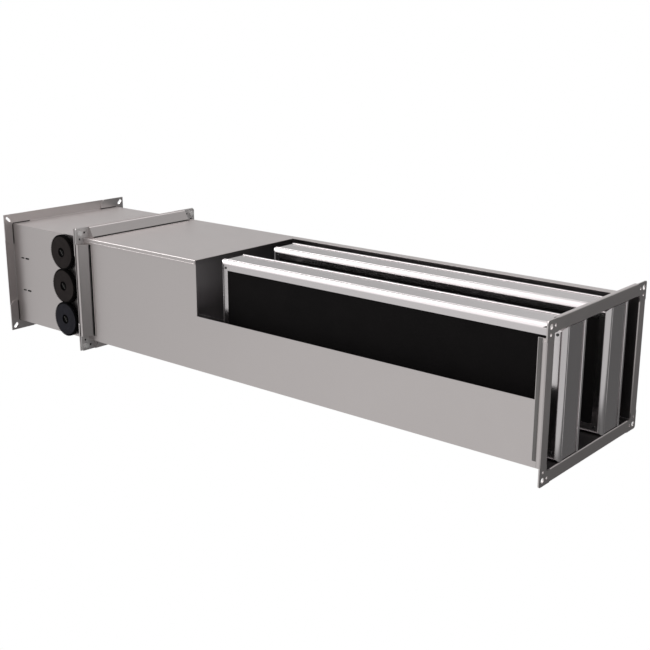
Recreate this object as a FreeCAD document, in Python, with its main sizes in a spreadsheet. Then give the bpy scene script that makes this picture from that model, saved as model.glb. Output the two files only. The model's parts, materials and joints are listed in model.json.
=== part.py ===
import FreeCAD, Part
import Sketcher

import math
import os
import re

from FreeCAD import Placement, Rotation, Vector

# Duct sound attenuator with a gear-driven multi-blade damper bolted to its inlet.
# Millimetres. +X runs along the duct to the open outlet flange, +Z is up, and the
# origin is under the middle of the whole object, on the surface that it rests on.

SIZES = [
    ("duct_width", 400.0, "clear width of the duct"),
    ("duct_height", 300.0, "clear height of the duct"),
    ("attenuator_length", 1500.0, "attenuator, face to face of its flanges"),
    ("damper_length", 340.0, "damper, face to face of its flanges"),
    ("flange_face", 30.0, "height of every flange above the duct's inner face"),
    ("casing_sheet", 1.0, "sheet of the attenuator casing"),
    ("rail_sheet", 1.0, "sheet of the roll-formed flange rails"),
    ("rail_depth", 10.5, "depth of a flange rail along its outer side"),
    ("rail_back", 24.0, "flange face to the foot of a rail's slanted back"),
    ("rail_leg", 36.0, "reach of a rail's leg along the casing"),
    ("rail_roll", 2.5, "outside radius of a rail's front edges"),
    ("rail_crest", 5.0, "outside radius of a rail's rolled back edge"),
    ("rail_lip", 2.5, "casing to the free edge of a rail's back"),
    ("corner_arm", 45.0, "visible arm of a pressed flange corner"),
    ("corner_plate", 3.0, "thickness of a pressed flange corner"),
    ("corner_tongue", 40.0, "length of a corner's tongue inside a rail"),
    ("corner_round", 6.0, "radius of a corner's outer point"),
    ("tongue_clearance", 0.3, "clearance round a tongue in its rail"),
    ("bolt_inset", 14.0, "flange bolt to the flange's outer edges"),
    ("bolt_hole", 12.0, "flange bolt hole"),
    ("tie_hole", 6.5, "small hole beside a flange bolt hole"),
    ("tie_pitch", 17.5, "bolt hole to small hole"),
    ("gasket_sheet", 3.0, "gasket between attenuator and damper"),
    ("gasket_width", 26.0, "width of the gasket strip"),
    ("cut_length", 1039.0, "outlet flange to the cut in the near wall"),
    ("cut_sill", 150.0, "near wall left standing above the duct floor"),
    ("lid_cut", 1037.0, "outlet flange to the cut edge of the lid"),
    ("lid_strip", 23.0, "lid left standing along the far wall"),
    ("seam_height", 12.0, "height of the lock seam on the side walls"),
    ("seam_sheet", 3.0, "thickness of the lock seam"),
    ("seam_gap", 5.0, "flange corner to the end of the lock seam"),
    ("fold_radius", 2.0, "outside radius of the casing's long folds"),
    ("baffle_thickness", 100.0, "one splitter baffle"),
    ("baffle_pitch", 200.0, "centre to centre of the two baffles"),
    ("baffle_length", 998.0, "length of a baffle"),
    ("baffle_setback", 1.0, "outlet flange face to a baffle's end"),
    ("baffle_clearance", 0.3, "baffle to the duct's floor and lid"),
    ("channel_sheet", 1.0, "sheet of a baffle's edge channels"),
    ("channel_lip", 13.0, "flat lip of an edge channel"),
    ("channel_round", 12.5, "rounded shoulder of an edge channel"),
    ("bead_crown", 0.5, "flat crown of an edge channel's bead"),
    ("bead_fall", 1.0, "fall of the bead towards its groove"),
    ("groove_reach", 31.5, "middle of a channel to the outside of its groove"),
    ("groove_width", 2.0, "groove beside the raised middle strip"),
    ("groove_depth", 3.4, "bottom of the groove below the bead's crown"),
    ("strip_drop", 1.8, "middle strip below the bead's crown"),
    ("rivet_hole", 3.4, "hole for a baffle rivet"),
    ("rivet_shank", 3.2, "shank of a baffle rivet"),
    ("rivet_head", 6.4, "head of a baffle rivet"),
    ("rivet_crown", 1.2, "height of a baffle rivet's head"),
    ("fleece_sheet", 0.7, "black fleece round the mineral wool"),
    ("infill_clearance", 0.2, "edge channels to the fleece"),
    ("damper_sheet", 1.25, "sheet of the damper's frame"),
    ("damper_bend", 3.0, "outside radius of the damper's flange bends"),
    ("plate_sheet", 2.5, "sheet of a damper corner plate"),
    ("plate_clearance", 0.4, "edge of a damper corner plate to the flange's bend"),
    ("plate_arm", 92.0, "arm of a damper corner plate along its inner edge"),
    ("plate_slope", 13.0, "how far the sloped arm end runs back"),
    ("slot_length", 19.5, "diagonal slot in a damper corner"),
    ("slot_width", 8.6, "width of the diagonal slot"),
    ("blade_pitch", 100.0, "axis to axis of neighbouring blades"),
    ("blade_inset", 77.0, "blade axis to the damper's outlet face"),
    ("blade_chord", 99.0, "chord of an aerofoil blade"),
    ("blade_thickness", 14.0, "thickness of a blade at its shoulders"),
    ("blade_shoulder", 15.0, "blade axis to its shoulders"),
    ("blade_tip", 2.6, "thickness of a blade at its edges"),
    ("blade_skin", 1.2, "wall of the hollow blade"),
    ("blade_rounding", 22.0, "radius over a blade's shoulders"),
    ("blade_end_gap", 1.5, "blade end to the damper's wall"),
    ("spindle", 12.0, "diameter of a blade spindle"),
    ("spindle_square", 8.0, "square end of a spindle"),
    ("running_clearance", 0.05, "radial clearance of a spindle in its bush"),
    ("spindle_overhang", 4.0, "spindle past the far bush"),
    ("bush_outside", 18.0, "body of a spindle bush"),
    ("bush_collar", 24.0, "collar of a spindle bush"),
    ("bush_collar_sheet", 2.5, "thickness of a bush collar"),
    ("gear_teeth", 60, "teeth on each gear"),
    ("gear_backlash", 0.3, "play between meshed teeth"),
    ("gear_front", 20.0, "gear face in front of the damper's wall"),
    ("spindle_end", 2.5, "end of a spindle below its gear's face"),
    ("gear_ring", 11.0, "width of the toothed ring"),
    ("gear_boss", 2.0, "raised disc on the gear's face"),
    ("gear_boss_radius", 46.0, "radius of the raised disc"),
    ("gear_recess", 28.0, "diameter of the recess round the spindle"),
    ("gear_recess_depth", 4.0, "depth of the recess round the spindle"),
    ("joint_bolt", 8.0, "bolt through the joined flanges"),
    ("hexagon", 13.0, "across the flats of bolt head and nut"),
    ("head_height", 5.3, "height of a bolt head"),
    ("nut_height", 6.5, "height of a nut"),
    ("bolt_end", 2.0, "bolt past its nut"),
    ("mark_length", 8.0, "punched mark in the damper's near wall"),
    ("mark_width", 2.6, "width of a punched mark"),
    ("mark_inset", 40.0, "first mark to the damper's inlet face"),
    ("mark_pitch", 22.0, "first mark to second mark"),
]
NAMES = {name for name, number, meaning in SIZES}
WORD = re.compile("[a-z][a-z_]*")

doc = FreeCAD.newDocument("duct_attenuator")
sizes = doc.addObject("Spreadsheet::Sheet", "Sizes")
for row, (name, number, meaning) in enumerate(SIZES, start=1):
    sizes.set("A%d" % row, meaning)
    sizes.set("B%d" % row, str(number))
    sizes.setAlias("B%d" % row, name)
doc.recompute()

# Places along and across the duct, as formulas of the driving sizes
OUTLET = "((attenuator_length + gasket_sheet + damper_length) / 2)"
JOINT = f"({OUTLET} - attenuator_length)"
DAMPER_OUTLET = f"({JOINT} - gasket_sheet)"
DAMPER_INLET = f"(-{OUTLET})"
BLADE_X = f"({DAMPER_OUTLET} - blade_inset)"
HALF_WIDTH = "(duct_width / 2)"
FLOOR = "flange_face"
CEILING = "(flange_face + duct_height)"
AXIS = "(flange_face + duct_height / 2)"
FLANGE_WIDTH = "(duct_width + 2 * flange_face)"
FLANGE_HEIGHT = "(duct_height + 2 * flange_face)"
BAFFLE_FLOOR = f"({FLOOR} + baffle_clearance)"
BAFFLE_TOP = f"({CEILING} - baffle_clearance)"
BAFFLE_END = f"({OUTLET} - baffle_setback)"
BAFFLE_START = f"({BAFFLE_END} - baffle_length)"
CHANNEL_DEPTH = "(channel_lip + channel_round)"
INFILL_INSET = "(channel_round + infill_clearance)"
DAMPER_WALL = f"({HALF_WIDTH} + damper_sheet)"
GEAR_FACE = f"({DAMPER_WALL} + gear_front)"
GEAR_RING_FACE = f"({GEAR_FACE} - gear_boss)"
GEAR_BACK = f"({GEAR_RING_FACE} - gear_ring)"
PLATE_WIDTH = "(flange_face - damper_bend - plate_clearance)"

ABOUT_X = Vector(1, 0, 0)
ABOUT_Y = Vector(0, 1, 0)
ABOUT_Z = Vector(0, 0, 1)
ALONG_X = Rotation(ABOUT_Y, 90)
ALONG_NEAR = Rotation(ABOUT_X, 90)
UPRIGHT = Rotation()

nodes = []


def value(name):
    return float(sizes.get(name))


def bind(thing, prop, formula):
    thing.setExpression(prop, WORD.sub(
        lambda word: "Sizes." + word.group() if word.group() in NAMES else word.group(),
        str(formula)))


def place(thing, base, turn=UPRIGHT):
    thing.Placement = Placement(Vector(), turn)
    for letter, formula in zip("xyz", base):
        bind(thing, "Placement.Base." + letter, formula)
    return thing


def node(thing, label):
    thing.Label = label
    nodes.append(thing)
    return thing


def box(name, base, size, turn=UPRIGHT):
    solid = doc.addObject("Part::Box", name)
    for prop, formula in zip(("Length", "Width", "Height"), size):
        bind(solid, prop, formula)
    return place(solid, base, turn)


def cylinder(name, base, radius, height, turn=UPRIGHT):
    solid = doc.addObject("Part::Cylinder", name)
    bind(solid, "Radius", radius)
    bind(solid, "Height", height)
    return place(solid, base, turn)


def hexagon(name, base, height, turn=UPRIGHT):
    solid = doc.addObject("Part::Prism", name)
    solid.Polygon = 6
    bind(solid, "Circumradius", "hexagon / 2 / cos(30)")
    bind(solid, "Height", height)
    return place(solid, base, turn)


def fuse(name, shapes):
    solid = doc.addObject("Part::MultiFuse", name)
    solid.Shapes = shapes
    return solid


def cut(name, base, tools):
    solid = doc.addObject("Part::Cut", name)
    solid.Base = base
    solid.Tool = tools[0] if len(tools) == 1 else group(name + "_tools", tools)
    return solid


def group(name, shapes):
    together = doc.addObject("Part::Compound", name)
    together.Links = shapes
    return together


def sketch(body, plane, name, loops=(), circles=()):
    """Closed outlines and circles on one of the body's own planes, each point held by
    two formulas. The lines start on a small ring, and their constraints spread them."""
    flat = body.newObject("Sketcher::SketchObject", name)
    origin_planes = [item for item in body.Origin.OriginFeatures if item.Role == plane]
    flat.AttachmentSupport = [(origin_planes[0], "")]
    flat.MapMode = "FlatFace"
    for corners in loops:
        first = flat.GeometryCount
        count = len(corners)
        ring = [Vector(20 * math.cos(2 * math.pi * turn / count),
                       20 * math.sin(2 * math.pi * turn / count), 0)
                for turn in range(count)]
        for turn in range(count):
            flat.addGeometry(Part.LineSegment(ring[turn], ring[(turn + 1) % count]), False)
        for turn in range(count):
            line = first + turn
            following = first + (turn + 1) % count
            flat.addConstraint(Sketcher.Constraint("Coincident", line, 2, following, 1))
            hold(flat, line, 1, ring[turn], corners[turn])
    for across, up, radius in circles:
        round_line = flat.addGeometry(Part.Circle(Vector(0, 0, 0), ABOUT_Z, 5), False)
        hold(flat, round_line, 3, Vector(0, 0, 0), (across, up))
        held = flat.addConstraint(Sketcher.Constraint("Radius", round_line, 5))
        bind(flat, "Constraints[%d]" % held, radius)
    return flat


def hold(flat, line, end, guess, formulas):
    for kind, start, formula in zip(("DistanceX", "DistanceY"), (guess.x, guess.y), formulas):
        held = flat.addConstraint(Sketcher.Constraint(kind, -1, 1, line, end, start))
        bind(flat, "Constraints[%d]" % held, formula)


def pad(body, flat, length, middle=False, back=False):
    feature = body.newObject("PartDesign::Pad", flat.Name + "_pad")
    feature.Profile = flat
    bind(feature, "Length", length)
    feature.Midplane = middle
    feature.Reversed = back
    flat.Visibility = False
    doc.recompute()
    return feature


def pocket(body, flat):
    feature = body.newObject("PartDesign::Pocket", flat.Name + "_pocket")
    feature.Profile = flat
    feature.Type = 1
    feature.Midplane = True
    doc.recompute()
    return feature


def soften(body, feature, flat, corners, radius):
    """Fillets the long edges that rise from the chosen corners of the outline."""
    rise = flat.Placement.Rotation.multVec(ABOUT_Z)
    spots = [flat.Placement.multVec(flat.Geometry[corner].StartPoint) for corner in corners]
    picked = []
    for number, edge in enumerate(feature.Shape.Edges, start=1):
        run = edge.Vertexes[-1].Point - edge.Vertexes[0].Point
        if run.Length < 1e-6 or run.cross(rise).Length > 1e-6 * run.Length:
            continue
        for spot in spots:
            if (spot - edge.Vertexes[0].Point).cross(rise).Length < 1e-4:
                picked.append("Edge%d" % number)
    rounded = body.newObject("PartDesign::Fillet", flat.Name + "_fillet")
    rounded.Base = (feature, picked)
    bind(rounded, "Radius", radius)
    doc.recompute()
    return rounded


def new_body(name):
    return doc.addObject("PartDesign::Body", name)


# Attenuator casing: a folded tray and a lid, cut away to show the baffles

def casing_tray():
    body = new_body("tray")
    outside = f"({HALF_WIDTH} + casing_sheet)"
    section = sketch(body, "YZ_Plane", "tray_section", [[
        (f"-{outside}", CEILING),
        (f"-{outside}", f"{FLOOR} - casing_sheet"),
        (outside, f"{FLOOR} - casing_sheet"),
        (outside, CEILING),
        (HALF_WIDTH, CEILING),
        (HALF_WIDTH, FLOOR),
        (f"-{HALF_WIDTH}", FLOOR),
        (f"-{HALF_WIDTH}", CEILING)]])
    walls = pad(body, section, "attenuator_length - 2 * corner_plate")
    walls = soften(body, walls, section, (1, 2), "fold_radius")
    soften(body, walls, section, (5, 6), "fold_radius - casing_sheet")
    place(body, (f"{JOINT} + corner_plate", "0", "0"))
    window = box("near_window",
                 (f"{OUTLET} - cut_length", f"-{HALF_WIDTH} - casing_sheet - 1", f"{FLOOR} + cut_sill"),
                 ("cut_length", "casing_sheet + 2", "duct_height"))
    walls = cut("tray_cut", body, [window])
    gap = "(corner_plate + seam_gap)"
    seams = [lock_seam("near", f"-{outside}", f"({JOINT} + {gap})", UPRIGHT,
                       f"{OUTLET} - cut_length - {JOINT} - {gap}"),
             lock_seam("far", outside, f"({OUTLET} - {gap})", Rotation(ABOUT_Z, 180),
                       f"attenuator_length - 2 * {gap}")]
    node(fuse("tray_whole", [walls] + seams), "casing_tray")


def lock_seam(hand, wall, start, turn, run):
    """The folded lock between the lid and a side wall."""
    body = new_body(f"{hand}_seam")
    section = sketch(body, "YZ_Plane", body.Name + "_section", [[
        ("0", "casing_sheet"), ("0", "casing_sheet - seam_height"),
        ("-seam_sheet", "casing_sheet - seam_height"), ("-seam_sheet", "casing_sheet")]])
    strip = pad(body, section, run)
    soften(body, strip, section, (2, 3), "seam_sheet / 2")
    place(body, (start, wall, CEILING), turn)
    return body


def casing_lid():
    whole = box("lid_sheet",
                (f"{JOINT} + corner_plate", f"-{HALF_WIDTH} - casing_sheet", CEILING),
                ("attenuator_length - 2 * corner_plate", "duct_width + 2 * casing_sheet",
                 "casing_sheet"))
    opening = box("lid_opening",
                  (f"{OUTLET} - lid_cut", f"-{HALF_WIDTH} - 10", f"{CEILING} - 1"),
                  ("lid_cut", "duct_width + 10 - lid_strip", "casing_sheet + 2"))
    node(cut("lid_cut_away", whole, [opening]), "casing_lid")


# Flange rails and pressed corners at both ends of the attenuator

RAIL_SIDES = [
    ("top", 0, "0", f"{CEILING} + casing_sheet", FLANGE_WIDTH),
    ("near", 90, f"-{HALF_WIDTH} - casing_sheet", AXIS, FLANGE_HEIGHT),
    ("bottom", 180, "0", f"{FLOOR} - casing_sheet", FLANGE_WIDTH),
    ("far", 270, f"{HALF_WIDTH} + casing_sheet", AXIS, FLANGE_HEIGHT),
]
FLANGES = [("outlet", OUTLET, Rotation()), ("upstream", JOINT, Rotation(ABOUT_Z, 180))]


def flange_rail(end, plane, facing, side, angle, across, up, span):
    body = new_body(f"{end}_{side}_rail")
    face = "(flange_face - casing_sheet)"
    slope = f"((rail_back - rail_depth) / ({face} - rail_lip))"
    back = f"(rail_sheet * sqrt(1 + {slope} * {slope}))"
    section = sketch(body, "XZ_Plane", body.Name + "_section", [[
        ("-rail_leg", "0"),
        ("-corner_plate", "0"),
        ("-corner_plate", "-casing_sheet"),
        ("0", "-casing_sheet"),
        ("0", face),
        ("-rail_depth", face),
        ("-rail_back", "rail_lip"),
        (f"{back} - rail_back", "rail_lip"),
        (f"{back} - rail_depth - {slope} * rail_sheet", f"{face} - rail_sheet"),
        ("-rail_sheet", f"{face} - rail_sheet"),
        ("-rail_sheet", "rail_sheet"),
        ("-rail_leg", "rail_sheet")]])
    strip = pad(body, section, f"{span} - 2 * corner_arm", middle=True)
    strip = soften(body, strip, section, (3, 4), "rail_roll")
    strip = soften(body, strip, section, (5,), "rail_crest")
    strip = soften(body, strip, section, (8,), "rail_crest - rail_sheet")
    soften(body, strip, section, (9,), "rail_roll - rail_sheet")
    place(body, (plane, across, up), Rotation(ABOUT_X, angle) * facing)
    node(body, f"{end}_flange_rail_{side}")


CORNER_SPOTS = [
    ("bottom_near", -1, -1), ("bottom_far", 1, -1), ("top_far", 1, 1), ("top_near", -1, 1)]


def corner_place(thing, plane, facing, quarter, side, level):
    """Sets a piece drawn round its outer point on one of a flange's four corners."""
    turned = quarter if facing.Angle < 1 else (quarter + 3) % 4
    place(thing,
          (plane, f"{side} * {FLANGE_WIDTH} / 2", f"{AXIS} + {level} * {FLANGE_HEIGHT} / 2"),
          Rotation(ABOUT_X, 90 * turned) * facing)


def flange_corner(end, plane, facing, quarter, name, side, level):
    body = new_body(f"{end}_{name}_corner")
    reach = "(corner_arm + corner_tongue)"
    low = "rail_roll"
    high = "(flange_face - casing_sheet - rail_sheet - tongue_clearance)"
    plate = sketch(body, "YZ_Plane", body.Name + "_plate", [[
        ("0", "0"), ("corner_arm", "0"), ("corner_arm", "flange_face"),
        ("flange_face", "flange_face"), ("flange_face", "corner_arm"), ("0", "corner_arm")]],
        [("bolt_inset", "bolt_inset", "bolt_hole / 2"),
         ("bolt_inset + tie_pitch", "bolt_inset", "tie_hole / 2"),
         ("bolt_inset", "bolt_inset + tie_pitch", "tie_hole / 2")])
    flat = pad(body, plate, "corner_plate", back=True)
    flat = soften(body, flat, plate, (0,), "corner_round")
    tongues = sketch(body, "YZ_Plane", body.Name + "_tongues", [
        [("corner_arm - 1", low), (reach, low), (reach, high), ("corner_arm - 1", high)],
        [(low, "corner_arm - 1"), (low, reach), (high, reach), (high, "corner_arm - 1")]])
    bind(tongues, "AttachmentOffset.Base.z", "-rail_sheet - tongue_clearance")
    pad(body, tongues, "corner_plate - rail_sheet - tongue_clearance", back=True)
    corner_place(body, plane, facing, quarter, side, level)
    node(body, f"{end}_flange_corner_{name}")


# Gasket and fasteners between the attenuator and the damper

def joint_gasket():
    ring = box("gasket_outside",
               (DAMPER_OUTLET, f"-{HALF_WIDTH} - gasket_width", f"{FLOOR} - gasket_width"),
               ("gasket_sheet", "duct_width + 2 * gasket_width",
                "duct_height + 2 * gasket_width"))
    hollow = box("gasket_inside",
                 (f"{DAMPER_OUTLET} - 1", f"-{HALF_WIDTH}", FLOOR),
                 ("gasket_sheet + 2", "duct_width", "duct_height"))
    holes = []
    for name, side, level in CORNER_SPOTS:
        holes.append(cylinder(f"gasket_hole_{name}", bolt_spot(f"{DAMPER_OUTLET} - 1", side, level),
                              "joint_bolt / 2 + 0.5", "gasket_sheet + 2", ALONG_X))
    node(cut("gasket_cut", ring, [hollow] + holes), "joint_gasket")


def bolt_spot(along, side, level):
    return (along,
            f"{side} * ({FLANGE_WIDTH} / 2 - bolt_inset)",
            f"{AXIS} + {level} * ({FLANGE_HEIGHT} / 2 - bolt_inset)")


def joint_fasteners():
    seat = f"{JOINT} + corner_plate"
    back = f"{DAMPER_OUTLET} - damper_sheet - plate_sheet"
    bolts = []
    nuts = []
    for name, side, level in CORNER_SPOTS:
        head = hexagon(f"bolt_head_{name}", bolt_spot(seat, side, level), "head_height", ALONG_X)
        end = f"({back} - nut_height - bolt_end)"
        shank = cylinder(f"bolt_shank_{name}", bolt_spot(end, side, level),
                         "joint_bolt / 2", f"{seat} - {end} + 1", ALONG_X)
        bolts.append(fuse(f"bolt_{name}", [head, shank]))
        blank = hexagon(f"nut_blank_{name}", bolt_spot(f"{back} - nut_height", side, level),
                        "nut_height", ALONG_X)
        bore = cylinder(f"nut_bore_{name}", bolt_spot(f"{back} - nut_height - 1", side, level),
                        "joint_bolt / 2 + running_clearance", "nut_height + 2", ALONG_X)
        nuts.append(cut(f"nut_{name}", blank, [bore]))
    node(group("all_bolts", bolts), "joint_bolts")
    node(group("all_nuts", nuts), "joint_nuts")


# Splitter baffles: mineral wool in black fleece, framed by rolled edge channels

def edge_channel(name, label, length, base, turn):
    body = new_body(name)
    half = "(baffle_thickness / 2)"
    depth = CHANNEL_DEPTH
    wall = "channel_sheet"
    outside = [(half, f"-{depth}"), (half, "0"),
               (f"{half} - channel_round - bead_crown", "0"),
               ("groove_reach", "-bead_fall"), ("groove_reach", "-groove_depth"),
               ("groove_reach - groove_width", "-groove_depth"),
               ("groove_reach - groove_width", "-strip_drop")]
    inside = [(f"groove_reach - groove_width - {wall}", f"-strip_drop - {wall}"),
              (f"groove_reach - groove_width - {wall}", f"-groove_depth - {wall}"),
              (f"groove_reach + {wall}", f"-groove_depth - {wall}"),
              (f"groove_reach + {wall}", f"-bead_fall - {wall}"),
              (f"{half} - channel_round - bead_crown", f"-{wall}"),
              (f"{half} - {wall}", f"-{wall}"), (f"{half} - {wall}", f"-{depth}")]
    left_inside = [(f"-({across})", up) for across, up in reversed(inside)]
    left_outside = [(f"-({across})", up) for across, up in reversed(outside)]
    outline = outside[::-1][::-1] + left_outside + left_inside + inside
    section = sketch(body, "YZ_Plane", name + "_section", [outline])
    strip = pad(body, section, length, middle=True)
    corners = len(outside)
    strip = soften(body, strip, section, (1, 2 * corners - 2), "channel_round")
    soften(body, strip, section, (2 * corners + 1, 4 * corners - 2),
           "channel_round - channel_sheet")
    ends = sketch(body, "XZ_Plane", name + "_mitres", [
        [(f"{side} * ({length} / 2 + 1)", "1"),
         (f"{side} * ({length} / 2 + 1)", f"-{depth} - 1"),
         (f"{side} * ({length} / 2 - {depth} - 1)", f"-{depth} - 1")] for side in (1, -1)])
    pocket(body, ends)
    reach = "(channel_round + channel_lip / 2)"
    holes = sketch(body, "XZ_Plane", name + "_holes", circles=[
        (f"{side} * ({length} / 2 - {reach})", f"-{reach}", "rivet_hole / 2")
        for side in (1, -1)])
    pocket(body, holes)
    place(body, base, turn)
    node(body, label)


def rivet(name, along, across, up, outward):
    turn = Rotation(ABOUT_X, 90 if outward < 0 else -90)
    head = cylinder(name + "_head", (along, across, up), "rivet_head / 2", "rivet_crown", turn)
    shank_start = f"{across} - {outward} * channel_sheet"
    shank = cylinder(name + "_shank", (along, shank_start, up), "rivet_shank / 2",
                     "channel_sheet + rivet_crown / 2", turn)
    return fuse(name, [head, shank])


def baffle(side_name, side):
    middle = f"({side} * baffle_pitch / 2)"
    centre = f"({BAFFLE_START} + baffle_length / 2)"
    level = f"(({BAFFLE_FLOOR} + {BAFFLE_TOP}) / 2)"
    height = f"({BAFFLE_TOP} - {BAFFLE_FLOOR})"
    label = f"baffle_{side_name}"
    edge_channel(f"{side_name}_top", f"{label}_rail_top", "baffle_length",
                 (centre, middle, BAFFLE_TOP), UPRIGHT)
    edge_channel(f"{side_name}_bottom", f"{label}_rail_bottom", "baffle_length",
                 (centre, middle, BAFFLE_FLOOR), Rotation(ABOUT_X, 180))
    edge_channel(f"{side_name}_outlet", f"{label}_end_outlet", height,
                 (BAFFLE_END, middle, level), Rotation(ABOUT_Y, 90))
    edge_channel(f"{side_name}_inlet", f"{label}_end_inlet", height,
                 (BAFFLE_START, middle, level), Rotation(ABOUT_Y, -90))
    infill = (f"({BAFFLE_START} + {INFILL_INSET})",
              f"({middle} - baffle_thickness / 2 + channel_sheet + infill_clearance)",
              f"({BAFFLE_FLOOR} + {INFILL_INSET})")
    size = (f"(baffle_length - 2 * {INFILL_INSET})",
            "(baffle_thickness - 2 * channel_sheet - 2 * infill_clearance)",
            f"({height} - 2 * {INFILL_INSET})")
    cloth = box(f"{side_name}_cloth", infill, size)
    core_base = (infill[0], infill[1] + " + fleece_sheet", infill[2] + " + fleece_sheet")
    core_size = (size[0], size[1] + " - 2 * fleece_sheet", size[2] + " - 2 * fleece_sheet")
    core = box(f"{side_name}_core", core_base, core_size)
    node(cut(f"{side_name}_sleeve", cloth, [core]), f"{label}_fleece")
    node(box(f"{side_name}_wool", core_base, core_size), f"{label}_wool")
    reach = "(channel_round + channel_lip / 2)"
    rivets = []
    for outward in (-1, 1):
        across = f"({middle} + {outward} * baffle_thickness / 2)"
        for corner, (along, up) in enumerate([
                (f"({BAFFLE_START} + {reach})", f"({BAFFLE_FLOOR} + {reach})"),
                (f"({BAFFLE_START} + {reach})", f"({BAFFLE_TOP} - {reach})"),
                (f"({BAFFLE_END} - {reach})", f"({BAFFLE_FLOOR} + {reach})"),
                (f"({BAFFLE_END} - {reach})", f"({BAFFLE_TOP} - {reach})")]):
            wing = "front" if outward < 0 else "back"
            rivets.append(rivet(f"{side_name}_rivet_{wing}_{'abcd'[corner]}",
                                along, across, up, outward))
    node(group(f"{side_name}_rivets", rivets), f"{label}_rivets")


# Damper frame: four folded panels, corner plates behind their flanges

def slot_tool(name, side, level):
    """A round-ended diagonal slot through both flanges at one corner."""
    run = "damper_length + 4"
    tilt = 45 * side * level
    straight = "(slot_length - slot_width)"
    spot = bolt_spot(f"{DAMPER_INLET} - 2", side, level)
    turn = Rotation(ABOUT_X, tilt)
    lift = {}
    for key, along in (("low", -1), ("high", 1)):
        across = f"{spot[1]} + {along} * {straight} / 2 * cos({tilt})"
        up = f"{spot[2]} + {along} * {straight} / 2 * sin({tilt})"
        lift[key] = cylinder(f"{name}_{key}", (spot[0], across, up), "slot_width / 2", run, ALONG_X)
    corner_across = (f"{spot[1]} - {straight} / 2 * cos({tilt}) + slot_width / 2 * sin({tilt})")
    corner_up = (f"{spot[2]} - {straight} / 2 * sin({tilt}) - slot_width / 2 * cos({tilt})")
    middle = box(f"{name}_middle", (spot[0], corner_across, corner_up),
                 (run, straight, "slot_width"), turn)
    return fuse(name, [lift["low"], lift["high"], middle])


def damper_panel(name, base, angle, width, tools, spindle_holes):
    body = new_body(f"panel_{name}")
    wall = "damper_sheet"
    section = sketch(body, "XZ_Plane", body.Name + "_section", [[
        ("0", "0"), ("damper_length", "0"), ("damper_length", "flange_face"),
        (f"damper_length - {wall}", "flange_face"), (f"damper_length - {wall}", wall),
        (wall, wall), (wall, "flange_face"), ("0", "flange_face")]])
    folded = pad(body, section, width, middle=True)
    folded = soften(body, folded, section, (0, 1), "damper_bend")
    soften(body, folded, section, (4, 5), "damper_bend - damper_sheet")
    if spindle_holes:
        bores = sketch(body, "XY_Plane", body.Name + "_bores", circles=[
            ("damper_length - blade_inset", f"{row} * blade_pitch", "bush_outside / 2")
            for row in (-1, 0, 1)])
        pocket(body, bores)
    place(body, base, Rotation(ABOUT_X, angle))
    if tools:
        body = cut(f"panel_{name}_cut", body, tools)
    node(body, f"damper_panel_{name}")


def wing_tools(name, low):
    """What the top and bottom panels lose beyond the side walls, leaving their flanges."""
    tools = []
    for hand, start in (("near", f"-{FLANGE_WIDTH} / 2 - 1"), ("far", DAMPER_WALL)):
        tools.append(box(f"wing_{name}_{hand}",
                         (f"{DAMPER_INLET} + damper_sheet", start, low),
                         ("damper_length - 2 * damper_sheet",
                          f"{FLANGE_WIDTH} / 2 + 1 - {DAMPER_WALL}", "flange_face + 2")))
    return tools


def punched_marks():
    marks = []
    for column in (0, 1):
        for row in (-1, 1):
            marks.append(box(f"mark_{'ab'[column]}_{'low' if row < 0 else 'high'}",
                             (f"{DAMPER_INLET} + mark_inset + {column} * mark_pitch",
                              f"-{DAMPER_WALL} - 1",
                              f"{AXIS} + {row} * blade_pitch / 2 - mark_width / 2"),
                             ("mark_length", "damper_sheet + 2", "mark_width")))
    return marks


def corner_plate(name, plane, facing, quarter, side, level, slot):
    body = new_body(f"plate_{name}")
    outline = sketch(body, "YZ_Plane", body.Name + "_outline", [[
        ("0", "0"), ("plate_arm - plate_slope", "0"), ("plate_arm", "plate_slope"),
        ("plate_arm", PLATE_WIDTH), (PLATE_WIDTH, PLATE_WIDTH),
        (PLATE_WIDTH, "plate_arm"), ("plate_slope", "plate_arm"),
        ("0", "plate_arm - plate_slope")]])
    pad(body, outline, "plate_sheet", back=True)
    corner_place(body, plane, facing, quarter, side, level)
    return cut(f"plate_{name}_cut", body, [slot])


def damper_frame():
    slots = [slot_tool(f"slot_{name}", side, level) for name, side, level in CORNER_SPOTS]
    low_slots = slots[:2]
    high_slots = slots[2:]
    damper_panel("top", (DAMPER_INLET, "0", CEILING), 0, FLANGE_WIDTH,
                 wing_tools("top", f"{CEILING} - 1") + high_slots, False)
    damper_panel("bottom", (DAMPER_INLET, "0", FLOOR), 180, FLANGE_WIDTH,
                 wing_tools("bottom", "-1") + low_slots, False)
    damper_panel("near", (DAMPER_INLET, f"-{HALF_WIDTH}", AXIS), 90, "duct_height",
                 punched_marks(), True)
    damper_panel("far", (DAMPER_INLET, HALF_WIDTH, AXIS), 270, "duct_height", [], True)
    outlet_plates = []
    for quarter, (name, side, level) in enumerate(CORNER_SPOTS):
        plate = corner_plate(f"inlet_{name}", f"{DAMPER_INLET} + damper_sheet",
                             Rotation(ABOUT_Z, 180), quarter, side, level, slots[quarter])
        node(plate, f"damper_corner_plate_{name}")
        outlet_plates.append(corner_plate(f"outlet_{name}", f"{DAMPER_OUTLET} - damper_sheet",
                                          Rotation(), quarter, side, level, slots[quarter]))
    node(group("outlet_plates", outlet_plates), "damper_outlet_corner_plates")


# Three counter-turning blades, each with its spindle, gear and two bushes

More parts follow.
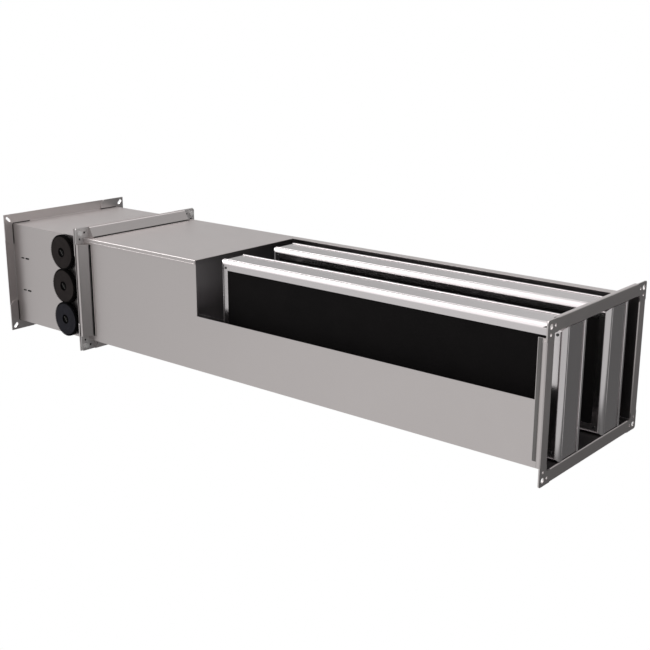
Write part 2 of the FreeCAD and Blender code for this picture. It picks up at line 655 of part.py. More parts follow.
def blade_section(body, name):
    half = "(blade_chord / 2)"
    thick = "(blade_thickness / 2)"
    tip = "(blade_tip / 2)"
    outline = [(half, f"-{tip}"), (half, tip), ("blade_shoulder", thick),
               ("-blade_shoulder", thick), (f"-{half}", tip), (f"-{half}", f"-{tip}"),
               ("-blade_shoulder", f"-{thick}"), ("blade_shoulder", f"-{thick}")]
    inner = f"({thick} - blade_skin)"
    web = "(spindle / 2 + blade_skin)"
    cavities = []
    for side in (1, -1):
        cavities.append([(f"{side} * {web}", f"-{inner}"), (f"{side} * blade_shoulder", f"-{inner}"),
                         (f"{side} * ({half} - 4 * blade_skin)", f"-({tip} - blade_skin / 2)"),
                         (f"{side} * ({half} - 4 * blade_skin)", f"{tip} - blade_skin / 2"),
                         (f"{side} * blade_shoulder", inner), (f"{side} * {web}", inner)])
    bore = [("0", "0", "spindle / 2 + running_clearance")]
    return sketch(body, "XZ_Plane", name + "_section", [outline] + cavities, bore)


def blade(name, level):
    up = f"({AXIS} + {level} * blade_pitch)"
    body = new_body(f"blade_{name}_body")
    section = blade_section(body, body.Name)
    length = "(duct_width - 2 * blade_end_gap)"
    skin = pad(body, section, length, middle=True)
    soften(body, skin, section, (2, 3, 6, 7), "blade_rounding")
    place(body, (BLADE_X, "0", up))
    node(body, f"blade_{name}")
    spindle(name, up)
    gear(name, up, level)
    for hand, side in (("near", -1), ("far", 1)):
        bush(name, hand, side, up)


def spindle(name, up):
    start = f"({DAMPER_WALL} + bush_collar_sheet + spindle_overhang)"
    shoulder = GEAR_BACK
    round_part = cylinder(f"spindle_{name}_round", (BLADE_X, start, up), "spindle / 2",
                          f"{start} + {shoulder}", ALONG_NEAR)
    square = box(f"spindle_{name}_square",
                 (f"{BLADE_X} - spindle_square / 2", f"-({GEAR_FACE} - spindle_end)",
                  f"{up} - spindle_square / 2"),
                 ("spindle_square", f"{GEAR_FACE} - spindle_end - {shoulder} + 1",
                  "spindle_square"))
    node(fuse(f"spindle_{name}_whole", [round_part, square]), f"blade_{name}_spindle")


def bush(name, hand, side, up):
    wall = f"{side} * {DAMPER_WALL}"
    turn = Rotation(ABOUT_X, -90 * side)
    collar = cylinder(f"collar_{name}_{hand}", (BLADE_X, wall, up), "bush_collar / 2",
                      "bush_collar_sheet", turn)
    sleeve = cylinder(f"sleeve_{name}_{hand}",
                      (BLADE_X, f"{side} * {HALF_WIDTH}", up), "bush_outside / 2",
                      "damper_sheet + bush_collar_sheet / 2", turn)
    whole = fuse(f"bush_{name}_{hand}_whole", [collar, sleeve])
    bore = cylinder(f"bore_{name}_{hand}", (BLADE_X, f"{side} * ({HALF_WIDTH} - 1)", up),
                    "spindle / 2 + running_clearance",
                    "damper_sheet + bush_collar_sheet + 2", turn)
    node(cut(f"bush_{name}_{hand}_cut", whole, [bore]), f"blade_{name}_bush_{hand}")


def involute(angle):
    return math.tan(angle) - angle


def gear_outline(phase):
    """Spur gear outline round the origin, in the XZ plane, with a tooth at the phase."""
    teeth = int(value("gear_teeth"))
    pitch_radius = value("blade_pitch") / 2
    module = 2 * pitch_radius / teeth
    pressure = math.radians(20)
    base_radius = pitch_radius * math.cos(pressure)
    pitch_half = (math.pi * module / 2 - value("gear_backlash")) / 2 / pitch_radius
    flank = []
    for radius in (pitch_radius - 1.15 * module, pitch_radius, pitch_radius + 0.75 * module):
        slope = math.acos(min(1.0, base_radius / radius))
        flank.append((radius, pitch_half + involute(pressure) - involute(slope)))
    points = []
    for tooth in range(teeth):
        middle = phase + 2 * math.pi * tooth / teeth
        sides = [(radius, middle - half) for radius, half in flank]
        sides += [(radius, middle + half) for radius, half in reversed(flank)]
        points += [Vector(radius * math.sin(turn), 0, radius * math.cos(turn))
                   for radius, turn in sides]
    return points


def gear(name, up, level):
    half_tooth = math.pi / int(value("gear_teeth"))
    points = gear_outline(half_tooth if level else 0.0)
    ring = doc.addObject("Part::Feature", f"gear_{name}_ring")
    face = Part.Face(Part.makePolygon(points + points[:1]))
    ring.Shape = face.extrude(Vector(0, -value("gear_ring"), 0))
    place(ring, (BLADE_X, f"-{GEAR_BACK}", up))
    boss = cylinder(f"gear_{name}_boss", (BLADE_X, f"-{GEAR_BACK}", up), "gear_boss_radius",
                    "gear_ring + gear_boss", ALONG_NEAR)
    whole = fuse(f"gear_{name}_whole", [ring, boss])
    recess = cylinder(f"gear_{name}_recess",
                      (BLADE_X, f"-{GEAR_FACE} + gear_recess_depth", up), "gear_recess / 2",
                      "gear_recess_depth + 1", ALONG_NEAR)
    bore = box(f"gear_{name}_bore",
               (f"{BLADE_X} - spindle_square / 2", f"-{GEAR_FACE} - 1",
                f"{up} - spindle_square / 2"),
               ("spindle_square", "gear_ring + gear_boss + 2", "spindle_square"))
    node(cut(f"gear_{name}_cut", whole, [recess, bore]), f"blade_{name}_gear")


def build():
    casing_tray()
    casing_lid()
    for end, plane, facing in FLANGES:
        for side, angle, across, up, span in RAIL_SIDES:
            flange_rail(end, plane, facing, side, angle, across, up, span)
        for quarter, (name, side, level) in enumerate(CORNER_SPOTS):
            flange_corner(end, plane, facing, quarter, name, side, level)
    joint_gasket()
    joint_fasteners()
    baffle("near", -1)
    baffle("far", 1)
    damper_frame()
    blade("top", 1)
    blade("middle", 0)
    blade("bottom", -1)
    doc.recompute()


def check():
    failed = [thing.Label for thing in doc.Objects
              if "Invalid" in thing.State or "Error" in thing.State]
    failed += [thing.Label for thing in nodes
               if thing.Shape.isNull() or not thing.Shape.isValid()]
    if failed:
        raise ValueError("without a valid shape: " + ", ".join(failed))


def write():
    os.makedirs("parts", exist_ok=True)
    for thing in nodes:
        thing.Shape.exportStep(f"parts/{thing.Label}.step")


build()
check()
write()
print(len(nodes), "nodes")
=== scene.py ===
import json
import math

import bmesh
import bpy
from mathutils import Euler, Matrix, Vector


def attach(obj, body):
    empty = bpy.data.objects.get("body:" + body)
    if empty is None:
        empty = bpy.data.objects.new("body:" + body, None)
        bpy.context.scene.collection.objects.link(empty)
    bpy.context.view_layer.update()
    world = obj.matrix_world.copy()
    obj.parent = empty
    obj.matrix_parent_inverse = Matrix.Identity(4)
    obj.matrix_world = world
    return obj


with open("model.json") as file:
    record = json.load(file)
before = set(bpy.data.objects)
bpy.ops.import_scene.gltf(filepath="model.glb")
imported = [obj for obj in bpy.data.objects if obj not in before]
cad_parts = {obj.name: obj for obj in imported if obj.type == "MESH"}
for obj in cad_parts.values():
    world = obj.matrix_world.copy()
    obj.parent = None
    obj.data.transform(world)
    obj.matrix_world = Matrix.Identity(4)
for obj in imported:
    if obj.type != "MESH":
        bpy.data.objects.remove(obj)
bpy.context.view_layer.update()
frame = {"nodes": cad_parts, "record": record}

# Places and sizes, in metres, in the same frame as the CAD
OUTLET = 0.9215
JOINT = OUTLET - 1.5
INLET = -OUTLET
AXIS = 0.18
FLOOR = 0.03
CEILING = 0.33
DUCT_HALF = 0.2
CASING_SHEET = 0.001
DAMPER_SHEET = 0.00125
CUT_EDGE = OUTLET - 1.039
FLANGE_HALF_WIDTH = 0.23
FLANGE_HALF_HEIGHT = 0.18
FLANGE_FACE = 0.03
CORNER_ARM = 0.045
BAFFLE_MIDDLES = {"near": -0.1, "far": 0.1}
BAFFLE_OUTLET = OUTLET - 0.001
BAFFLE_LENGTH = 0.998
BAFFLE_TOP = 0.3297
BAFFLE_HEIGHT = 0.2994
BLADE_X = JOINT - 0.08
BLADE_LEVELS = {"top": 0.28, "middle": 0.18, "bottom": 0.08}
GEAR_FACE = -0.22125
X, Y, Z = Vector((1.0, 0.0, 0.0)), Vector((0.0, 1.0, 0.0)), Vector((0.0, 0.0, 1.0))


# Nodes that the materials, the floor and the studio share

NOISE_RANGE = 0.3, 0.7


def add(tree, kind, links=(), **settings):
    """Adds a node; each of its inputs takes another node's output or a constant."""
    made = tree.nodes.new("ShaderNode" + kind)
    for key, setting in settings.items():
        setattr(made, key, setting)
    for socket, source in links:
        if hasattr(source, "is_output"):
            tree.links.new(source, made.inputs[socket])
        else:
            made.inputs[socket].default_value = source
    return made


def connect(tree, sockets, results):
    for label, result in results.items():
        tree.links.new(result, sockets[label])


def reckon(tree, operation, first, second=0.0):
    return add(tree, "Math", [(0, first), (1, second)], operation=operation).outputs[0]


def spread(tree, value, low, high, start=0.0, end=1.0):
    """Maps the values from low to high onto those from start to end."""
    return add(tree, "MapRange", [("Value", value), ("From Min", low), ("From Max", high),
                                  ("To Min", start), ("To Max", end)]).outputs["Result"]


def swing(tree, value, reach):
    """Maps the usual values of a noise onto a swing to both sides of zero."""
    return spread(tree, value, *NOISE_RANGE, -reach, reach)


def blend(tree, share, first, second):
    return add(tree, "MixRGB", [("Fac", share), ("Color1", first),
                                ("Color2", second)]).outputs["Color"]


def either(tree, switch, off, on):
    return add(tree, "MixShader", [("Fac", switch), (1, off), (2, on)]).outputs[0]


def coordinates(tree, kind="Object"):
    return add(tree, "TexCoord").outputs[kind]


def parted(tree, vector):
    """The X, Y and Z of a vector."""
    return add(tree, "SeparateXYZ", [("Vector", vector)]).outputs


def scaled(tree, vector, scale):
    return add(tree, "VectorMath", [(0, vector), ("Scale", scale)],
               operation="SCALE").outputs["Vector"]


def noise(tree, place, scale, detail, distortion=0.0):
    return add(tree, "TexNoise", [("Vector", place), ("Scale", scale), ("Detail", detail),
                                  ("Distortion", distortion)]).outputs["Fac"]


def relief(tree, height, strength, depth):
    return add(tree, "Bump", [("Height", height), ("Strength", strength),
                              ("Distance", depth)]).outputs["Normal"]


def opaque(colour):
    return (*colour, 1.0)


def grey(level):
    return (level, level, level, 1.0)


# Node groups: each gives out only values and normals

def new_group(name, inputs, outputs):
    """Starts a group; its inputs come with defaults and its outputs with their kinds."""
    tree = bpy.data.node_groups.new(name, "ShaderNodeTree")
    for label, default in inputs.items():
        socket = tree.interface.new_socket(name=label, in_out="INPUT",
                                           socket_type="NodeSocketFloat")
        socket.default_value = default
    for label, kind in outputs.items():
        tree.interface.new_socket(name=label, in_out="OUTPUT",
                                  socket_type="NodeSocket" + kind)
    given = tree.nodes.new("NodeGroupInput").outputs
    return tree, given, tree.nodes.new("NodeGroupOutput").inputs


def galvanising():
    """Fine zinc grain and slow unevenness on sheet steel."""
    tree, given, out = new_group("galvanising", {"Scale": 1.0},
                                 {"Tone": "Float", "Roughness": "Float", "Normal": "Vector"})
    place = scaled(tree, coordinates(tree), given["Scale"])
    slow = noise(tree, place, scale=3.2, detail=3.0)
    smear = noise(tree, place, scale=24.0, detail=4.0)
    grain = noise(tree, place, scale=900.0, detail=2.0)
    spangle = add(tree, "TexVoronoi", [("Vector", place), ("Scale", 320.0)])
    tone = reckon(tree, "ADD", swing(tree, slow, reach=0.3), swing(tree, grain, reach=0.35))
    tone = reckon(tree, "ADD", tone,
                  spread(tree, spangle.outputs["Distance"], 0.0, 0.8, start=-0.1, end=0.1))
    connect(tree, out, {"Tone": tone, "Roughness": swing(tree, smear, reach=0.015),
                        "Normal": relief(tree, grain, strength=0.03, depth=0.0005)})
    return tree


def fibres():
    """Matted short fibres of fleece and mineral wool."""
    tree, given, out = new_group("fibres", {"Scale": 1.0},
                                 {"Tone": "Float", "Normal": "Vector"})
    place = scaled(tree, coordinates(tree), given["Scale"])
    threads = noise(tree, place, scale=420.0, detail=4.0, distortion=1.6)
    clouds = noise(tree, place, scale=16.0, detail=3.0)
    tone = reckon(tree, "ADD", swing(tree, threads, reach=0.7), swing(tree, clouds, reach=0.3))
    connect(tree, out, {"Tone": tone,
                        "Normal": relief(tree, threads, strength=0.6, depth=0.0006)})
    return tree


def moulding():
    """Fine mould texture and faint handling marks on plastic."""
    tree, given, out = new_group("moulding", {"Scale": 1.0},
                                 {"Tone": "Float", "Normal": "Vector"})
    place = scaled(tree, coordinates(tree), given["Scale"])
    pits = noise(tree, place, scale=1400.0, detail=2.0)
    marks = noise(tree, place, scale=60.0, detail=4.0)
    connect(tree, out, {"Tone": swing(tree, marks, reach=0.5),
                        "Normal": relief(tree, pits, strength=0.15, depth=0.0003)})
    return tree


def duct_inside():
    """Marks what lies inside the duct's walls, where the casing gets a painted shade colour."""
    tree, given, out = new_group("duct_inside",
                                 {"Half Width": DUCT_HALF, "Bottom": FLOOR, "Top": CEILING},
                                 {"Inside": "Float"})
    place = parted(tree, coordinates(tree))
    within = reckon(tree, "LESS_THAN", reckon(tree, "ABSOLUTE", place["Y"]),
                    given["Half Width"])
    above = reckon(tree, "GREATER_THAN", place["Z"], given["Bottom"])
    below = reckon(tree, "LESS_THAN", place["Z"], given["Top"])
    height = reckon(tree, "MULTIPLY", above, below)
    connect(tree, out, {"Inside": reckon(tree, "MULTIPLY", height, within)})
    return tree


def set_back():
    """Marks what lies behind a gear's raised disc, its toothed ring and its recess, which get
    painted shade.
    """
    tree, given, out = new_group("set_back", {"Face": GEAR_FACE}, {"Behind": "Float"})
    place = parted(tree, coordinates(tree))
    connect(tree, out, {"Behind": reckon(tree, "GREATER_THAN", place["Y"], given["Face"])})
    return tree


GROUPS = {"galvanising": galvanising(), "fibres": fibres(), "moulding": moulding(),
          "duct_inside": duct_inside(), "set_back": set_back()}


# Materials

WALL_SKIN = 0.0002
DISC_SKIN = 0.001


def shader(name, metallic, roughness, specular=0.5):
    made = bpy.data.materials.new(name)
    made.use_nodes = True
    surface = made.node_tree.nodes["Principled BSDF"].inputs
    surface["Metallic"].default_value = metallic
    surface["Roughness"].default_value = roughness
    surface["Specular IOR Level"].default_value = specular
    return made, made.node_tree, surface


def use_group(tree, name, **values):
    """Places a shared group with a material's own values and gives its outputs."""
    made = tree.nodes.new("ShaderNodeGroup")
    made.node_tree = GROUPS[name]
    for label, value in values.items():
        made.inputs[label.replace("_", " ").title()].default_value = value
    return made.outputs


def tinted(tree, tone, dark, light):
    return blend(tree, spread(tree, tone, -1.0, 1.0), opaque(dark), opaque(light))


def metal(name, dark, light, roughness, metallic=1.0, inside_shade=None):
    """Zinc-coated or bare metal; an inside shade colour paints shade on the duct's inside."""
    made, tree, surface = shader(name, metallic, roughness)
    zinc = use_group(tree, "galvanising")
    colour = tinted(tree, zinc["Tone"], dark, light)
    if inside_shade:
        inside = use_group(tree, "duct_inside", half_width=DUCT_HALF + WALL_SKIN,
                           bottom=FLOOR - WALL_SKIN, top=CEILING + WALL_SKIN)
        colour = blend(tree, inside["Inside"], colour, opaque(inside_shade))
    connect(tree, surface, {"Base Color": colour, "Normal": zinc["Normal"],
                            "Roughness": reckon(tree, "ADD", zinc["Roughness"], roughness)})
    return made


def fibre(name, dark, light, scale):
    made, tree, surface = shader(name, metallic=0.0, roughness=0.95, specular=0.15)
    matted = use_group(tree, "fibres", scale=scale)
    connect(tree, surface, {"Base Color": tinted(tree, matted["Tone"], dark, light),
                            "Normal": matted["Normal"]})
    return made


def plastic(name, dark, light, roughness, specular=0.25, recess_shade=None):
    """Moulded plastic or rubber; a recess shade colour paints shade on a gear's toothed ring and
    recess.
    """
    made, tree, surface = shader(name, 0.0, roughness, specular)
    moulded = use_group(tree, "moulding")
    colour = tinted(tree, moulded["Tone"], dark, light)
    if recess_shade:
        behind = use_group(tree, "set_back", face=GEAR_FACE + DISC_SKIN)
        colour = blend(tree, behind["Behind"], colour, opaque(recess_shade))
    connect(tree, surface, {"Base Color": colour, "Normal": moulded["Normal"]})
    return made


SHEET = (0.735, 0.688, 0.678), (0.795, 0.745, 0.735), 0.34
MATERIALS = {
    "galvanised": metal("rolled_rail", *SHEET),
    "galvanised_pressed": metal("pressed_plate", (0.72, 0.68, 0.67), (0.80, 0.755, 0.745), 0.34),
    "galvanised_baffle": metal("rolled_strip", (0.85, 0.81, 0.815), (0.90, 0.86, 0.865), 0.21),
    "gasket_rubber": plastic("gasket_foam", (0.012, 0.012, 0.012), (0.022, 0.022, 0.022), 0.85),
    "zinc_bolt": metal("plated_bolt", (0.66, 0.65, 0.64), (0.76, 0.75, 0.74), 0.36, 0.45),
    "black_fleece": fibre("black_fleece", (0.0030, 0.0025, 0.0026), (0.0078, 0.0066, 0.0068), 1.0),
    "mineral_wool": fibre("mineral_wool", (0.34, 0.29, 0.14), (0.55, 0.48, 0.27), 0.7),
    "rivet_steel": metal("rivet_steel", (0.10, 0.10, 0.10), (0.15, 0.15, 0.15), 0.4),
    "blade_aluminium": metal("blade_aluminium", (0.62, 0.62, 0.62), (0.70, 0.70, 0.70), 0.36),
    # The spindles' near-black colour is painted shade that darkens the gears' hub recesses.
    "spindle_steel": metal("spindle_steel", (0.05, 0.05, 0.05), (0.09, 0.09, 0.09), 0.45),
    # The gear's toothed ring and recess get painted shade, darker than its raised disc.
    "gear_plastic": plastic("gear_plastic", (0.0165, 0.0136, 0.0132), (0.0285, 0.0234, 0.0227),
                            0.6, 0.05, recess_shade=(0.003, 0.0025, 0.0025)),
    "bush_plastic": plastic("bush_plastic", (0.012, 0.012, 0.012), (0.02, 0.02, 0.02), 0.55),
}
# The casing's inside gets painted shade: a darker colour inside the duct, where less light
# reaches.
CASING = metal("casing_sheet", *SHEET, inside_shade=(0.20, 0.188, 0.192))
# The bottom gear's copy of the plastic is bluish: a painted reflection.
LOW_GEAR_REFLECTION = plastic("gear_plastic_low_reflection", (0.0140, 0.0138, 0.0172), (0.0240, 0.0236, 0.0295),
                   0.6, 0.05, recess_shade=(0.0025, 0.0025, 0.003))
CORNER = metal("pressed_corner", (0.56, 0.54, 0.535), (0.74, 0.715, 0.71), 0.4, 0.7)
SEALANT = metal("grey_sealant", (0.16, 0.155, 0.15), (0.24, 0.23, 0.225), 0.45, 0.7)
# Near-black for painted shade: in the punched marks, the plate slits, the gear hubs and under the
# upstream rails.
SHADE_BLACK = plastic("painted_shade_black", (0.003, 0.003, 0.003), (0.006, 0.006, 0.006), 0.8, 0.03)
# A lighter grey for the hub's key: a painted highlight in the gear's dark recess.
KEY_HIGHLIGHT = plastic("painted_key_highlight", (0.03, 0.028, 0.027), (0.05, 0.047, 0.045), 0.4, 0.5)
OWN_FINISHES = {"casing_": CASING, "damper_panel_": CASING, "upstream_flange_corner_": CORNER,
                "blade_bottom_gear": LOW_GEAR_REFLECTION}

slot_of = {sub["node"]: sub["material_slot"] for sub in frame["record"]["subparts"]}
for node, thing in frame["nodes"].items():
    finish = MATERIALS[slot_of[node]]
    for start, own_finish in OWN_FINISHES.items():
        if node.startswith(start):
            finish = own_finish
    thing.data.materials.clear()
    thing.data.materials.append(finish)


# New pieces: an outline lies across and outwards, is filled, and runs along its own first axis

SHARP = math.radians(35.0)


def finished(name, form, finish, body="frame"):
    """Turns a bmesh into a piece that rides on a body."""
    bmesh.ops.recalc_face_normals(form, faces=form.faces)
    for edge in form.edges:
        edge.smooth = len(edge.link_faces) == 2 and edge.calc_face_angle() < SHARP
    for face in form.faces:
        face.smooth = True
    mesh = bpy.data.meshes.new(name)
    form.to_mesh(mesh)
    form.free()
    mesh.materials.append(finish)
    made = bpy.data.objects.new(name, mesh)
    bpy.context.collection.objects.link(made)
    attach(made, body)


def drawn(form, outline):
    """The vertices of a plain outline."""
    return [form.verts.new((0.0, across, out)) for across, out in outline]


def arc(form, start, middle, steps):
    """The vertices of half a turn, spun from a start round a middle."""
    known = set(form.verts)
    first = form.verts.new(start)
    bmesh.ops.spin(form, geom=[first], cent=middle, axis=X, angle=math.pi, steps=steps)
    return [vert for vert in form.verts if vert not in known]


def dome(form, half, height):
    """The vertices of a low round bead, flat side down."""
    corners = arc(form, Y * half, Vector(), steps=6)
    bmesh.ops.scale(form, vec=(1.0, 1.0, height / half), verts=corners)
    return corners


def oval(form, length, width):
    """The vertices of a slot: two half circles joined by straight sides."""
    middle, half = Y * (length - width) / 2, Z * width / 2
    return (arc(form, middle - half, middle, steps=5)
            + arc(form, half - middle, -middle, steps=5))


def disc(form, radius):
    """The vertices of a circle."""
    upright = Matrix.Rotation(math.radians(90.0), 4, "Y")
    return bmesh.ops.create_circle(form, segments=32, radius=radius, matrix=upright)["verts"]


def run(form, corners, length, place):
    """Fills an outline, extrudes it and sets it in place."""
    face = form.faces.new(corners)
    grown = bmesh.ops.extrude_face_region(form, geom=[face])["geom"]
    moved = [part for part in grown if isinstance(part, bmesh.types.BMVert)]
    bmesh.ops.translate(form, verts=moved, vec=X * length)
    bmesh.ops.transform(form, verts=corners + moved, matrix=place)


def axes(origin, along, across, out):
    """The matrix that sets a run's three directions at a place."""
    turn = Matrix((along, across, out)).transposed().to_4x4()
    return Matrix.Translation(origin) @ turn


SIDES = {"top": (Z, Y, FLANGE_HALF_WIDTH, FLANGE_HALF_HEIGHT),
         "near": (-Y, Z, FLANGE_HALF_HEIGHT, FLANGE_HALF_WIDTH),
         "bottom": (-Z, Y, FLANGE_HALF_WIDTH, FLANGE_HALF_HEIGHT),
         "far": (Y, Z, FLANGE_HALF_HEIGHT, FLANGE_HALF_WIDTH)}
FLANGES = {"outlet": (OUTLET, -X), "upstream": (JOINT, X)}
HANDS = (-1.0, 1.0)


def rail_sealant():
    """A bead along each rail's leg, pressed under the foot of the slanted back; the upstream bead
    is near-black as painted shade of the grey sealant under its flange.
    """
    # The upstream bead is near-black painted shade; the outlet bead keeps the sealant's grey.
    beads = {"outlet": (SEALANT, 0.0056), "upstream": (SHADE_BLACK, 0.0028)}
    foot, leg_top, bead_height, end_gap = 0.0292, 0.002, 0.0014, 0.0005
    for end, (plane, inward) in FLANGES.items():
        finish, half = beads[end]
        for side, (out, along, half_span, level) in SIDES.items():
            form = bmesh.new()
            span = half_span - CORNER_ARM - end_gap
            origin = (Vector((plane, 0.0, AXIS)) + inward * foot
                      + out * (level - FLANGE_FACE + leg_top) - along * span)
            run(form, dome(form, half, bead_height), 2 * span, axes(origin, along, inward, out))
            finished(f"{end}_sealant_{side}", form, finish)


def rail_end_plugs():
    """Pressed closers in the open ends of the rails beside the corners."""
    outline = [(-0.0032, 0.0012), (-0.0032, 0.0276), (-0.0074, 0.0276), (-0.0103, 0.0252),
               (-0.0225, 0.0013)]
    thickness, end_gap = 0.001, 0.0006
    for end, (plane, inward) in FLANGES.items():
        form = bmesh.new()
        for out, along, half_span, level in SIDES.values():
            base = Vector((plane, 0.0, AXIS)) + out * (level - FLANGE_FACE + CASING_SHEET)
            for hand in HANDS:
                origin = base + along * hand * (half_span - CORNER_ARM - end_gap)
                run(form, drawn(form, outline), thickness,
                    axes(origin, along * -hand, -inward, out))
        finished(f"{end}_rail_end_plugs", form, MATERIALS["galvanised_pressed"])


def lock_seam_hems():
    """The rolled lower hem of each lock seam."""
    end_gap, seam_out, seam_down = 0.008, 0.004, 0.0095
    bead_half, bead_height = 0.0013, 0.0007
    start = JOINT + end_gap
    for name, hand, stop in (("near", -1.0, CUT_EDGE), ("far", 1.0, OUTLET - end_gap)):
        form = bmesh.new()
        origin = Vector((start, hand * (DUCT_HALF + seam_out), CEILING - seam_down))
        run(form, dome(form, bead_half, bead_height), stop - start, axes(origin, X, Z, Y * hand))
        finished(f"lock_seam_hem_{name}", form, MATERIALS["galvanised"])


def channel_beads():
    """Rolled beads on the sloped crowns of the baffles' edge channels."""
    tilt = math.radians(10.3)
    crown, sunk, end_gap = 0.0343, 0.0005, 0.0015
    bead_half, bead_height = 0.0019, 0.0009
    channels = {
        "rail_top": (Vector((BAFFLE_OUTLET - BAFFLE_LENGTH / 2, 0.0, BAFFLE_TOP)), X, Z,
                     BAFFLE_LENGTH),
        "end_outlet": (Vector((BAFFLE_OUTLET, 0.0, AXIS)), Z, X, BAFFLE_HEIGHT),
        "end_inlet": (Vector((BAFFLE_OUTLET - BAFFLE_LENGTH, 0.0, AXIS)), Z, -X,
                      BAFFLE_HEIGHT)}
    for baffle, middle in BAFFLE_MIDDLES.items():
        for channel, (centre, along, out, length) in channels.items():
            form = bmesh.new()
            for hand in HANDS:
                slanted = out * math.cos(tilt) - Y * hand * math.sin(tilt)
                origin = (centre + Y * (middle + hand * crown) - out * sunk
                          - along * (length / 2 - end_gap))
                run(form, dome(form, bead_half, bead_height), length - 2 * end_gap,
                    axes(origin, along, slanted.cross(along), slanted))
            finished(f"baffle_{baffle}_{channel}_beads", form, MATERIALS["galvanised_baffle"])


def mark_shade_plugs():
    """Black plugs in the punched marks of the damper's near wall, painted shade for the dark duct
    inside seen through them.
    """
    marks = ((INLET + 0.044, 0.014, 0.0036), (INLET + 0.066, 0.0175, 0.0046))
    row_rise, plug_base, plug_depth = 0.05, 0.0006, 0.0024
    for row, level in (("low", AXIS - row_rise), ("high", AXIS + row_rise)):
        form = bmesh.new()
        for middle, length, width in marks:
            origin = Vector((middle, plug_base - DUCT_HALF, level))
            run(form, oval(form, length, width), plug_depth, axes(origin, -Y, X, Z))
        finished(f"mark_shade_plugs_{row}", form, SHADE_BLACK)


def plate_slit_shade():
    """Dark lines of painted shade in the slits between the damper's corner plates and the turned
    flanges.
    """
    outline = [(-0.0009, 0.0), (0.0009, 0.0), (0.0006, 0.0005), (-0.0006, 0.0005)]
    plate, line_in, line_start, line_length = 0.0025, 0.0275, 0.091, 0.061
    face = Vector((INLET + DAMPER_SHEET + plate, 0.0, AXIS))
    form = bmesh.new()
    for hand in HANDS:
        for out, along, half_span, level in SIDES.values():
            origin = face + out * (level - line_in) + along * hand * (half_span - line_start)
            run(form, drawn(form, outline), line_length, axes(origin, along * hand, out, X))
    finished("corner_plate_slit_shade", form, SHADE_BLACK)


def gear_hubs():
    """A black socket with a square collar in each gear's recess, crossed by a lighter key; the
    black is painted shade in the recess and the key's lighter grey is a painted highlight.
    """
    recess, socket_radius, socket_depth = 0.00405, 0.0135, 0.0004
    collar_turn, collar_out, collar_depth = 0.35, 0.0083, 0.0022
    bar = [(-0.0013, -0.0095), (0.0013, -0.0095), (0.0013, 0.0095), (-0.0013, 0.0095)]
    key_outline = [(-0.0095, -0.0011), (-0.0085, 0.0011), (0.0095, 0.0011), (0.0085, -0.0011)]
    key_depth = 0.0036
    turned = Vector((math.cos(collar_turn), 0.0, math.sin(collar_turn)))
    upward = Vector((-math.sin(collar_turn), 0.0, math.cos(collar_turn)))
    slanted = Vector((0.61, 0.0, -0.79)).normalized()
    for name, level in BLADE_LEVELS.items():
        body = f"blade_{name}_set"
        back = Vector((BLADE_X, GEAR_FACE + recess, level))
        socket = bmesh.new()
        run(socket, disc(socket, socket_radius), socket_depth, axes(back, -Y, X, Z))
        for hand in HANDS:
            for first, second in ((turned, upward), (upward, turned)):
                run(socket, drawn(socket, bar), collar_depth,
                    axes(back + first * hand * collar_out, -Y, first, second))
        finished(f"gear_hub_{name}", socket, SHADE_BLACK, body)
        key = bmesh.new()
        run(key, drawn(key, key_outline), key_depth, axes(back, -Y, slanted, slanted.cross(Y)))
        finished(f"gear_key_highlight_{name}", key, KEY_HIGHLIGHT, body)


rail_sealant()
rail_end_plugs()
lock_seam_hems()
channel_beads()
mark_shade_plugs()
plate_slit_shade()
gear_hubs()


# Floor, studio, camera and light

FLOOR_HALF = 14.0
FLOOR_LEVEL = -0.0005
STRIP_START = 0.93, 0.97
STRIP_SLANT = 1.18, 1.3
STRIP_POWER = 0.5
SOFT_GREY = 0.8
HORIZON = -0.05, 0.2
OVERHEAD = (1.13, 1.11, 1.115)
OVERHEAD_LEAN = 0.3
OVERHEAD_RISE = 0.28, 0.55
OVERHEAD_REACH = 0.35, -0.1

# Greys of the studio from the inlet's side (0) to the outlet's side (1), low and high
BELOW_STOPS = [(0.0, 0.38), (0.1, 0.45), (0.19, 0.585), (0.28, 0.61), (0.42, 0.45), (0.6, 0.11),
               (0.8, 0.085), (0.9, 0.135), (1.0, 0.135)]
ABOVE_STOPS = [(0.0, 0.30), (0.1, 0.36), (0.19, 0.41), (0.28, 0.50), (0.6, 0.40), (0.8, 0.38),
               (0.92, 0.44), (1.0, 0.44)]


def ramp(tree, value, stops):
    made = add(tree, "ValToRGB", [("Fac", value)])
    steps = made.color_ramp
    while len(steps.elements) < len(stops):
        steps.elements.new(0.5)
    for element, (position, level) in zip(steps.elements, stops):
        element.position = position
        element.color = grey(level)
    steps.interpolation = "EASE"
    return made.outputs["Color"]


def glow(tree, kind, colour, strength=1.0):
    return add(tree, kind, [("Color", colour), ("Strength", strength)]).outputs[0]


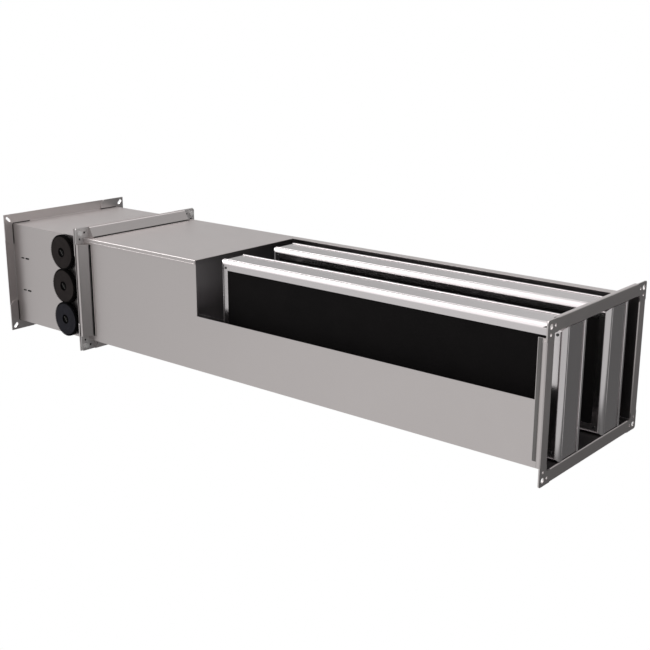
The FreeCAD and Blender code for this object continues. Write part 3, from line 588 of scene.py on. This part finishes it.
def floor():
    """A white floor; polished faces see the studio through it and a lit strip past the outlet."""
    mesh = bpy.data.meshes.new("floor")
    form = bmesh.new()
    bmesh.ops.create_grid(form, x_segments=1, y_segments=1, size=FLOOR_HALF)
    form.to_mesh(mesh)
    form.free()
    made = bpy.data.objects.new("floor", mesh)
    made.location = (0.0, 0.0, FLOOR_LEVEL)
    bpy.context.collection.objects.link(made)
    paint = bpy.data.materials.new("floor_paint")
    paint.use_nodes = True
    tree = paint.node_tree
    tree.nodes.clear()
    place = parted(tree, coordinates(tree))
    slant = reckon(tree, "SUBTRACT", place["X"], place["Y"])
    strip = reckon(tree, "MULTIPLY", spread(tree, place["X"], *STRIP_START),
                   spread(tree, slant, *STRIP_SLANT))
    plain = add(tree, "BsdfDiffuse", [("Color", grey(SOFT_GREY))]).outputs[0]
    clear = add(tree, "BsdfTransparent", [("Color", grey(1.0))]).outputs[0]
    ray = add(tree, "LightPath").outputs
    mirrored = either(tree, strip, clear, glow(tree, "Emission", grey(1.0), STRIP_POWER))
    polished = either(tree, ray["Is Glossy Ray"], plain, mirrored)
    seen = either(tree, ray["Is Camera Ray"], polished, glow(tree, "Emission", grey(1.0)))
    connect(tree, add(tree, "OutputMaterial").inputs, {"Surface": seen})
    mesh.materials.append(paint)


def studio():
    """Even light from above and a darker side past the outlet, both for polished faces."""
    sky = bpy.data.worlds.new("studio")
    bpy.context.scene.world = sky
    sky.use_nodes = True
    tree = sky.node_tree
    tree.nodes.clear()
    way = parted(tree, coordinates(tree, "Generated"))
    along = spread(tree, way["X"], -1.0, 1.0)
    sides = blend(tree, spread(tree, way["Z"], *HORIZON), ramp(tree, along, BELOW_STOPS),
                  ramp(tree, along, ABOVE_STOPS))
    lean = reckon(tree, "MULTIPLY", way["Y"], OVERHEAD_LEAN)
    rise = reckon(tree, "SUBTRACT", way["Z"], lean)
    high = reckon(tree, "MULTIPLY", spread(tree, rise, *OVERHEAD_RISE),
                  spread(tree, way["X"], *OVERHEAD_REACH))
    polished = glow(tree, "Background", blend(tree, high, sides, opaque(OVERHEAD)))
    ray = add(tree, "LightPath").outputs
    hidden = either(tree, ray["Is Glossy Ray"], glow(tree, "Background", grey(SOFT_GREY)),
                    polished)
    seen = either(tree, ray["Is Camera Ray"], hidden, glow(tree, "Background", grey(1.0)))
    connect(tree, add(tree, "OutputWorld").inputs, {"Surface": seen})


def camera():
    """The photograph's camera, as solved from the flanges' and the casing's corners."""
    lens = bpy.data.cameras.new("camera")
    lens.sensor_width = 36.0
    lens.lens = 60.733
    lens.clip_end = 60.0
    made = bpy.data.objects.new("camera", lens)
    made.location = (1.92258, -2.11910, 0.94288)
    made.rotation_euler = Euler([math.radians(turn) for turn in (74.2203, -0.1159, 39.9029)])
    bpy.context.collection.objects.link(made)
    bpy.context.scene.camera = made


def shoulder_softbox():
    """A soft lamp over the inlet's side, for the bright shoulders of the baffles."""
    place, aim = Vector((-2.3, -0.6, 2.8)), Vector((0.4, -0.1, 0.3))
    lamp = bpy.data.lights.new("shoulder_softbox", "AREA")
    lamp.shape = "RECTANGLE"
    lamp.size, lamp.size_y = 1.8, 3.0
    lamp.energy = 50.0
    made = bpy.data.objects.new("shoulder_softbox", lamp)
    made.location = place
    made.rotation_euler = (aim - place).to_track_quat("-Z", "Y").to_euler()
    bpy.context.collection.objects.link(made)


floor()
studio()
camera()
shoulder_softbox()
bpy.context.scene.view_settings.view_transform = "Standard"
